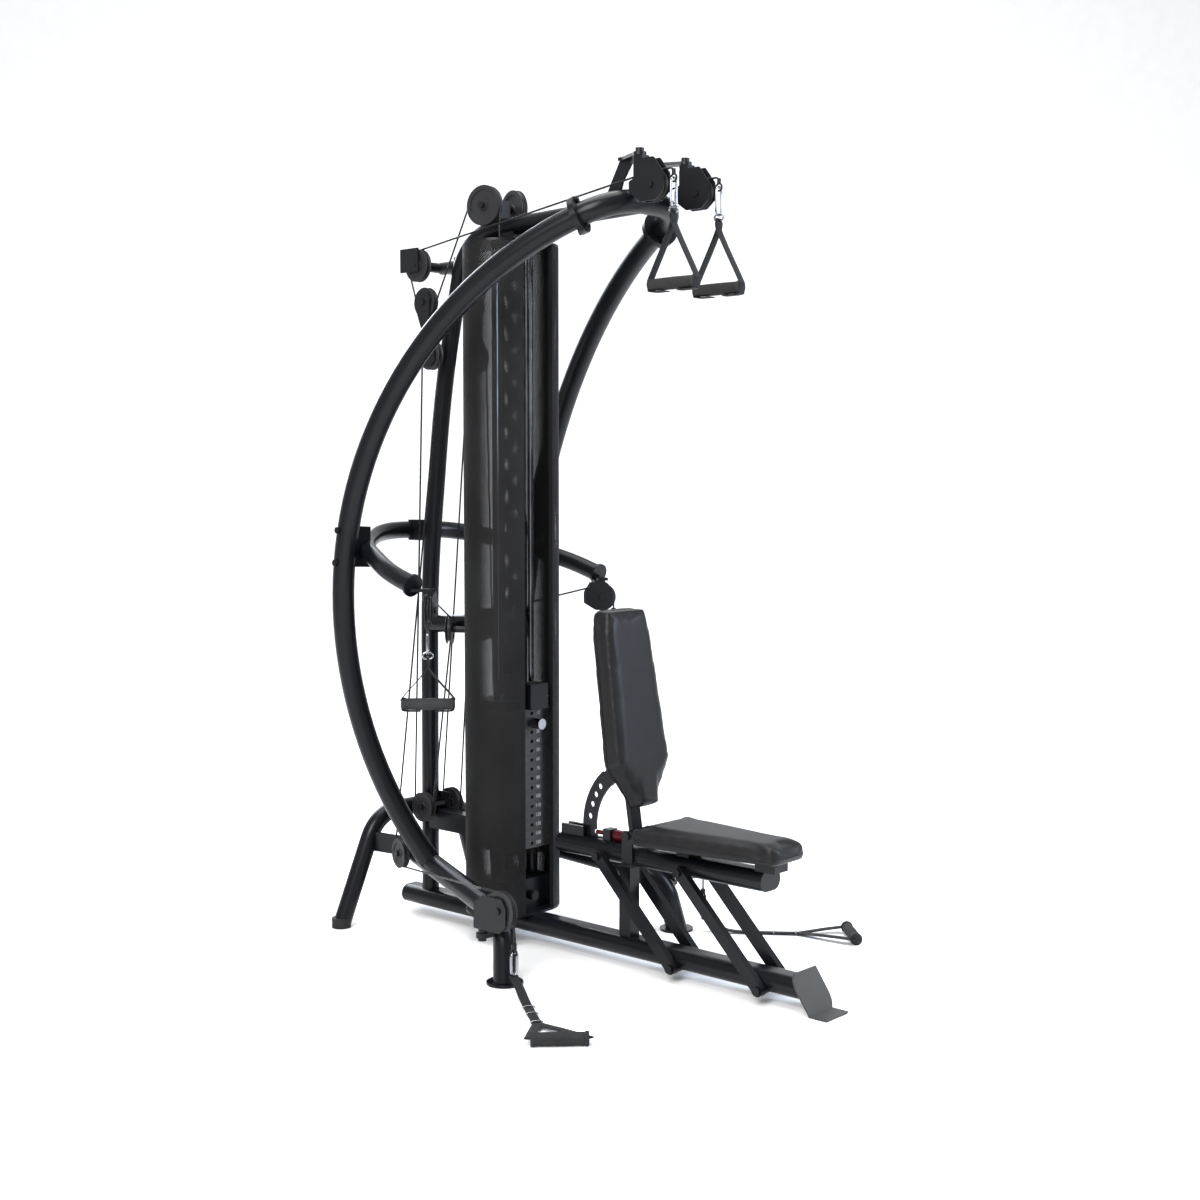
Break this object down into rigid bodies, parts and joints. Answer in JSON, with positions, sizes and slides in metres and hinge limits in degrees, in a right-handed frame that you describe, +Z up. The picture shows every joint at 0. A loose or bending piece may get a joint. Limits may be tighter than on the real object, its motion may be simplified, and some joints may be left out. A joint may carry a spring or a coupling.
{
  "type": "multi station home gym",
  "caption": "Free-standing cable gym with a shrouded weight stack, bowed tube frame, leaning bench on parallel links, floating pulley blocks and high, mid and low handle stations",
  "frame": {"origin": "on the floor at the centre of the footprint", "axes": "X across, -Y towards the bench foot, Y towards the rear leg, Z up"},
  "size_m": [1.3134, 1.55, 2.108],
  "materials": {
    "frame_black": "satin powder coat",
    "mesh_grey": "perforated steel sheet, powder coated",
    "plate_iron": "black paint on cast iron",
    "chrome_rod": "polished",
    "vinyl_black": "soft-grain upholstery vinyl",
    "rubber_black": "moulded matte rubber",
    "cable_black": "nylon-coated steel cable",
    "wheel_black": "moulded nylon",
    "webbing_black": "woven nylon webbing",
    "knob_red": "moulded",
    "plate_grey": "textured powder coat"
  },
  "bodies": {
    "frame": {"base_rail": "frame_black", "floor_plate": "plate_grey", "side_tubes": "frame_black", "side_arcs": "frame_black", "top_yoke": "frame_black", "upright": "frame_black", "rear_leg": "frame_black", "rubber_parts": "rubber_black", "mid_bar": "frame_black", "high_bracket": "frame_black", "tower_frame": "frame_black", "guide_rods": "chrome_rod", "weight_plates": "plate_iron", "shrouds": "mesh_grey", "pulley_brackets": "frame_black", "station_cables": "cable_black", "lift_cables": "cable_black", "rear_block_cables": "cable_black", "front_block_cables": "cable_black", "low_block_cables": "cable_black", "mid_housing_left": "frame_black", "mid_housing_right": "frame_black"},
    "stack": {"stack_carrier": "frame_black", "lifted_plates": "plate_iron"},
    "blocks": {"floating_blocks": "frame_black"},
    "seat": {"seat_rail": "frame_black", "seat_pad": "vinyl_black"},
    "back": {"back_frame": "frame_black", "back_pad": "vinyl_black"},
    "front_links": {"front_links": "frame_black"},
    "high_handle_left": {"high_handle_left": "webbing_black"},
    "high_handle_right": {"high_handle_right": "webbing_black"},
    "high_housing_left": {"high_housing_left": "frame_black"},
    "high_housing_right": {"high_housing_right": "frame_black"},
    "high_wheel_left": {"high_wheel_left": "wheel_black"},
    "high_wheel_right": {"high_wheel_right": "wheel_black"},
    "low_handle_left": {"low_handle_left": "webbing_black"},
    "low_handle_right": {"low_handle_right": "webbing_black"},
    "low_housing_left": {"low_housing_left": "frame_black"},
    "low_housing_right": {"low_housing_right": "frame_black"},
    "low_wheel_left": {"low_wheel_left": "wheel_black"},
    "low_wheel_right": {"low_wheel_right": "wheel_black"},
    "lower_block_wheels": {"lower_block_wheels": "wheel_black"},
    "lower_wheels": {"lower_wheels": "wheel_black"},
    "mid_handle_left": {"mid_handle_left": "webbing_black"},
    "mid_handle_right": {"mid_handle_right": "webbing_black"},
    "mid_wheel_left": {"mid_wheel_left": "wheel_black"},
    "mid_wheel_right": {"mid_wheel_right": "wheel_black"},
    "rear_links": {"rear_links": "frame_black"},
    "rear_wheels": {"rear_wheels": "wheel_black"},
    "recline_pin": {"recline_pin": "knob_red"},
    "selector_pin": {"selector_pin": "chrome_rod"},
    "side_wheel_left": {"side_wheel_left": "wheel_black"},
    "side_wheel_right": {"side_wheel_right": "wheel_black"},
    "stack_wheel": {"stack_wheel": "wheel_black"},
    "top_wheel_left": {"top_wheel_left": "wheel_black"},
    "top_wheel_right": {"top_wheel_right": "wheel_black"},
    "turn_wheel_left": {"turn_wheel_left": "wheel_black"},
    "turn_wheel_right": {"turn_wheel_right": "wheel_black"},
    "upper_block_wheels": {"upper_block_wheels": "wheel_black"}
  },
  "joints": [
    {"name": "stack_lift", "type": "slide", "parent": "frame", "child": "stack", "axis": [0, 0, 1], "range_m": [0, 0.85], "deforming": ["lift_cables"]},
    {"name": "block_slide", "type": "slide", "parent": "frame", "child": "blocks", "axis": [0, 0, -1], "range_m": [0, 0.425], "deforming": ["rear_block_cables", "front_block_cables", "low_block_cables"]},
    {"name": "selector_pull", "type": "slide", "parent": "stack", "child": "selector_pin", "axis": [0, -1, 0], "range_m": [0, 0.1]},
    {"name": "high_swivel_left", "type": "hinge", "parent": "frame", "child": "high_housing_left", "pos_m": [-0.09, -0.216, 2.09], "axis": [0, 0, 1], "range_deg": [-30, 30]},
    {"name": "high_handle_left_swing", "type": "hinge", "parent": "high_housing_left", "child": "high_handle_left", "pos_m": [-0.09, -0.326, 2.022], "axis": [1, 0, 0], "range_deg": [-45, 30]},
    {"name": "low_swivel_left", "type": "hinge", "parent": "frame", "child": "low_housing_left", "pos_m": [-0.381, 0.06, 0.13], "axis": [0, 0, 1], "range_deg": [-30, 8]},
    {"name": "low_handle_left_lift", "type": "hinge", "parent": "low_housing_left", "child": "low_handle_left", "pos_m": [-0.381, -0.0548, 0.1], "axis": [1, 0, 0], "range_deg": [-60, 0]},
    {"name": "mid_handle_left_swing", "type": "hinge", "parent": "frame", "child": "mid_handle_left", "pos_m": [-0.36724, 0.27334, 0.887], "axis": [0.6223, -0.7828, 0], "range_deg": [-40, 40]},
    {"name": "high_swivel_right", "type": "hinge", "parent": "frame", "child": "high_housing_right", "pos_m": [0.09, -0.216, 2.09], "axis": [0, 0, 1], "range_deg": [-30, 30]},
    {"name": "high_handle_right_swing", "type": "hinge", "parent": "high_housing_right", "child": "high_handle_right", "pos_m": [0.09, -0.326, 2.022], "axis": [1, 0, 0], "range_deg": [-45, 30]},
    {"name": "low_swivel_right", "type": "hinge", "parent": "frame", "child": "low_housing_right", "pos_m": [0.381, 0.06, 0.13], "axis": [0, 0, 1], "range_deg": [-8, 30]},
    {"name": "low_handle_right_lift", "type": "hinge", "parent": "low_housing_right", "child": "low_handle_right", "pos_m": [0.381, -0.0548, 0.1], "axis": [1, 0, 0], "range_deg": [-60, 0]},
    {"name": "mid_handle_right_swing", "type": "hinge", "parent": "frame", "child": "mid_handle_right", "pos_m": [0.36724, 0.27334, 0.887], "axis": [0.6223, 0.7828, 0], "range_deg": [-40, 40]},
    {"name": "rear_link_swing", "type": "hinge", "parent": "frame", "child": "rear_links", "pos_m": [0, -0.298, 0.036], "axis": [1, 0, 0], "range_deg": [0, 50]},
    {"name": "front_link_swing", "type": "hinge", "parent": "frame", "child": "front_links", "pos_m": [0, -0.575, 0.036], "axis": [1, 0, 0], "range_deg": [0, 50]},
    {"name": "seat_level", "type": "hinge", "parent": "rear_links", "child": "seat", "pos_m": [0, -0.046, 0.29], "axis": [1, 0, 0], "range_deg": [-50, 0]},
    {"name": "back_recline", "type": "hinge", "parent": "seat", "child": "back", "pos_m": [0, -0.14, 0.355], "axis": [1, 0, 0], "range_deg": [-27, 0]},
    {"name": "recline_pull", "type": "slide", "parent": "seat", "child": "recline_pin", "axis": [0, -1, 0], "range_m": [0, 0.012]},
    {"name": "stack_wheel_spin", "type": "hinge", "parent": "stack", "child": "stack_wheel", "pos_m": [0, 0.322, 0.866], "axis": [0, 1, 0], "continuous": true},
    {"name": "upper_block_spin", "type": "hinge", "parent": "blocks", "child": "upper_block_wheels", "pos_m": [0, 0.575, 1.782], "axis": [1, 0, 0], "continuous": true},
    {"name": "lower_block_spin", "type": "hinge", "parent": "blocks", "child": "lower_block_wheels", "pos_m": [0, 0.556, 1.635], "axis": [1, 0, 0], "continuous": true},
    {"name": "rear_wheels_spin", "type": "hinge", "parent": "frame", "child": "rear_wheels", "pos_m": [0, 0.607, 1.888], "axis": [1, 0, 0], "continuous": true},
    {"name": "lower_wheels_spin", "type": "hinge", "parent": "frame", "child": "lower_wheels", "pos_m": [0, 0.64, 0.331], "axis": [1, 0, 0], "continuous": true},
    {"name": "top_wheel_left_spin", "type": "hinge", "parent": "frame", "child": "top_wheel_left", "pos_m": [-0.057, 0.371, 2.034], "axis": [0.9822, 0.1878, 0], "continuous": true},
    {"name": "turn_wheel_left_spin", "type": "hinge", "parent": "frame", "child": "turn_wheel_left", "pos_m": [-0.062, 0.516, 0.859], "axis": [0.6223, -0.7828, 0], "continuous": true},
    {"name": "side_wheel_left_spin", "type": "hinge", "parent": "frame", "child": "side_wheel_left", "pos_m": [-0.212, 0.564, 0.232], "axis": [0.9617, -0.2739, 0], "continuous": true},
    {"name": "mid_wheel_left_spin", "type": "hinge", "parent": "frame", "child": "mid_wheel_left", "pos_m": [-0.34, 0.295, 0.942], "axis": [0.6223, -0.7828, 0], "continuous": true},
    {"name": "high_wheel_left_spin", "type": "hinge", "parent": "high_housing_left", "child": "high_wheel_left", "pos_m": [-0.09, -0.262, 2.012], "axis": [1, 0, 0], "continuous": true},
    {"name": "low_wheel_left_spin", "type": "hinge", "parent": "low_housing_left", "child": "low_wheel_left", "pos_m": [-0.381, -0.01, 0.2], "axis": [1, 0, 0], "continuous": true},
    {"name": "top_wheel_right_spin", "type": "hinge", "parent": "frame", "child": "top_wheel_right", "pos_m": [0.057, 0.371, 2.034], "axis": [0.9822, -0.1878, 0], "continuous": true},
    {"name": "turn_wheel_right_spin", "type": "hinge", "parent": "frame", "child": "turn_wheel_right", "pos_m": [0.062, 0.516, 0.859], "axis": [0.6223, 0.7828, 0], "continuous": true},
    {"name": "side_wheel_right_spin", "type": "hinge", "parent": "frame", "child": "side_wheel_right", "pos_m": [0.212, 0.564, 0.232], "axis": [0.9617, 0.2739, 0], "continuous": true},
    {"name": "mid_wheel_right_spin", "type": "hinge", "parent": "frame", "child": "mid_wheel_right", "pos_m": [0.34, 0.295, 0.942], "axis": [0.6223, 0.7828, 0], "continuous": true},
    {"name": "high_wheel_right_spin", "type": "hinge", "parent": "high_housing_right", "child": "high_wheel_right", "pos_m": [0.09, -0.262, 2.012], "axis": [1, 0, 0], "continuous": true},
    {"name": "low_wheel_right_spin", "type": "hinge", "parent": "low_housing_right", "child": "low_wheel_right", "pos_m": [0.381, -0.01, 0.2], "axis": [1, 0, 0], "continuous": true}
  ],
  "couplings": [
    {"joint": "block_slide", "follows": "stack_lift", "ratio": 0.5},
    {"joint": "front_link_swing", "follows": "rear_link_swing", "ratio": 1},
    {"joint": "seat_level", "follows": "rear_link_swing", "ratio": -1}
  ]
}
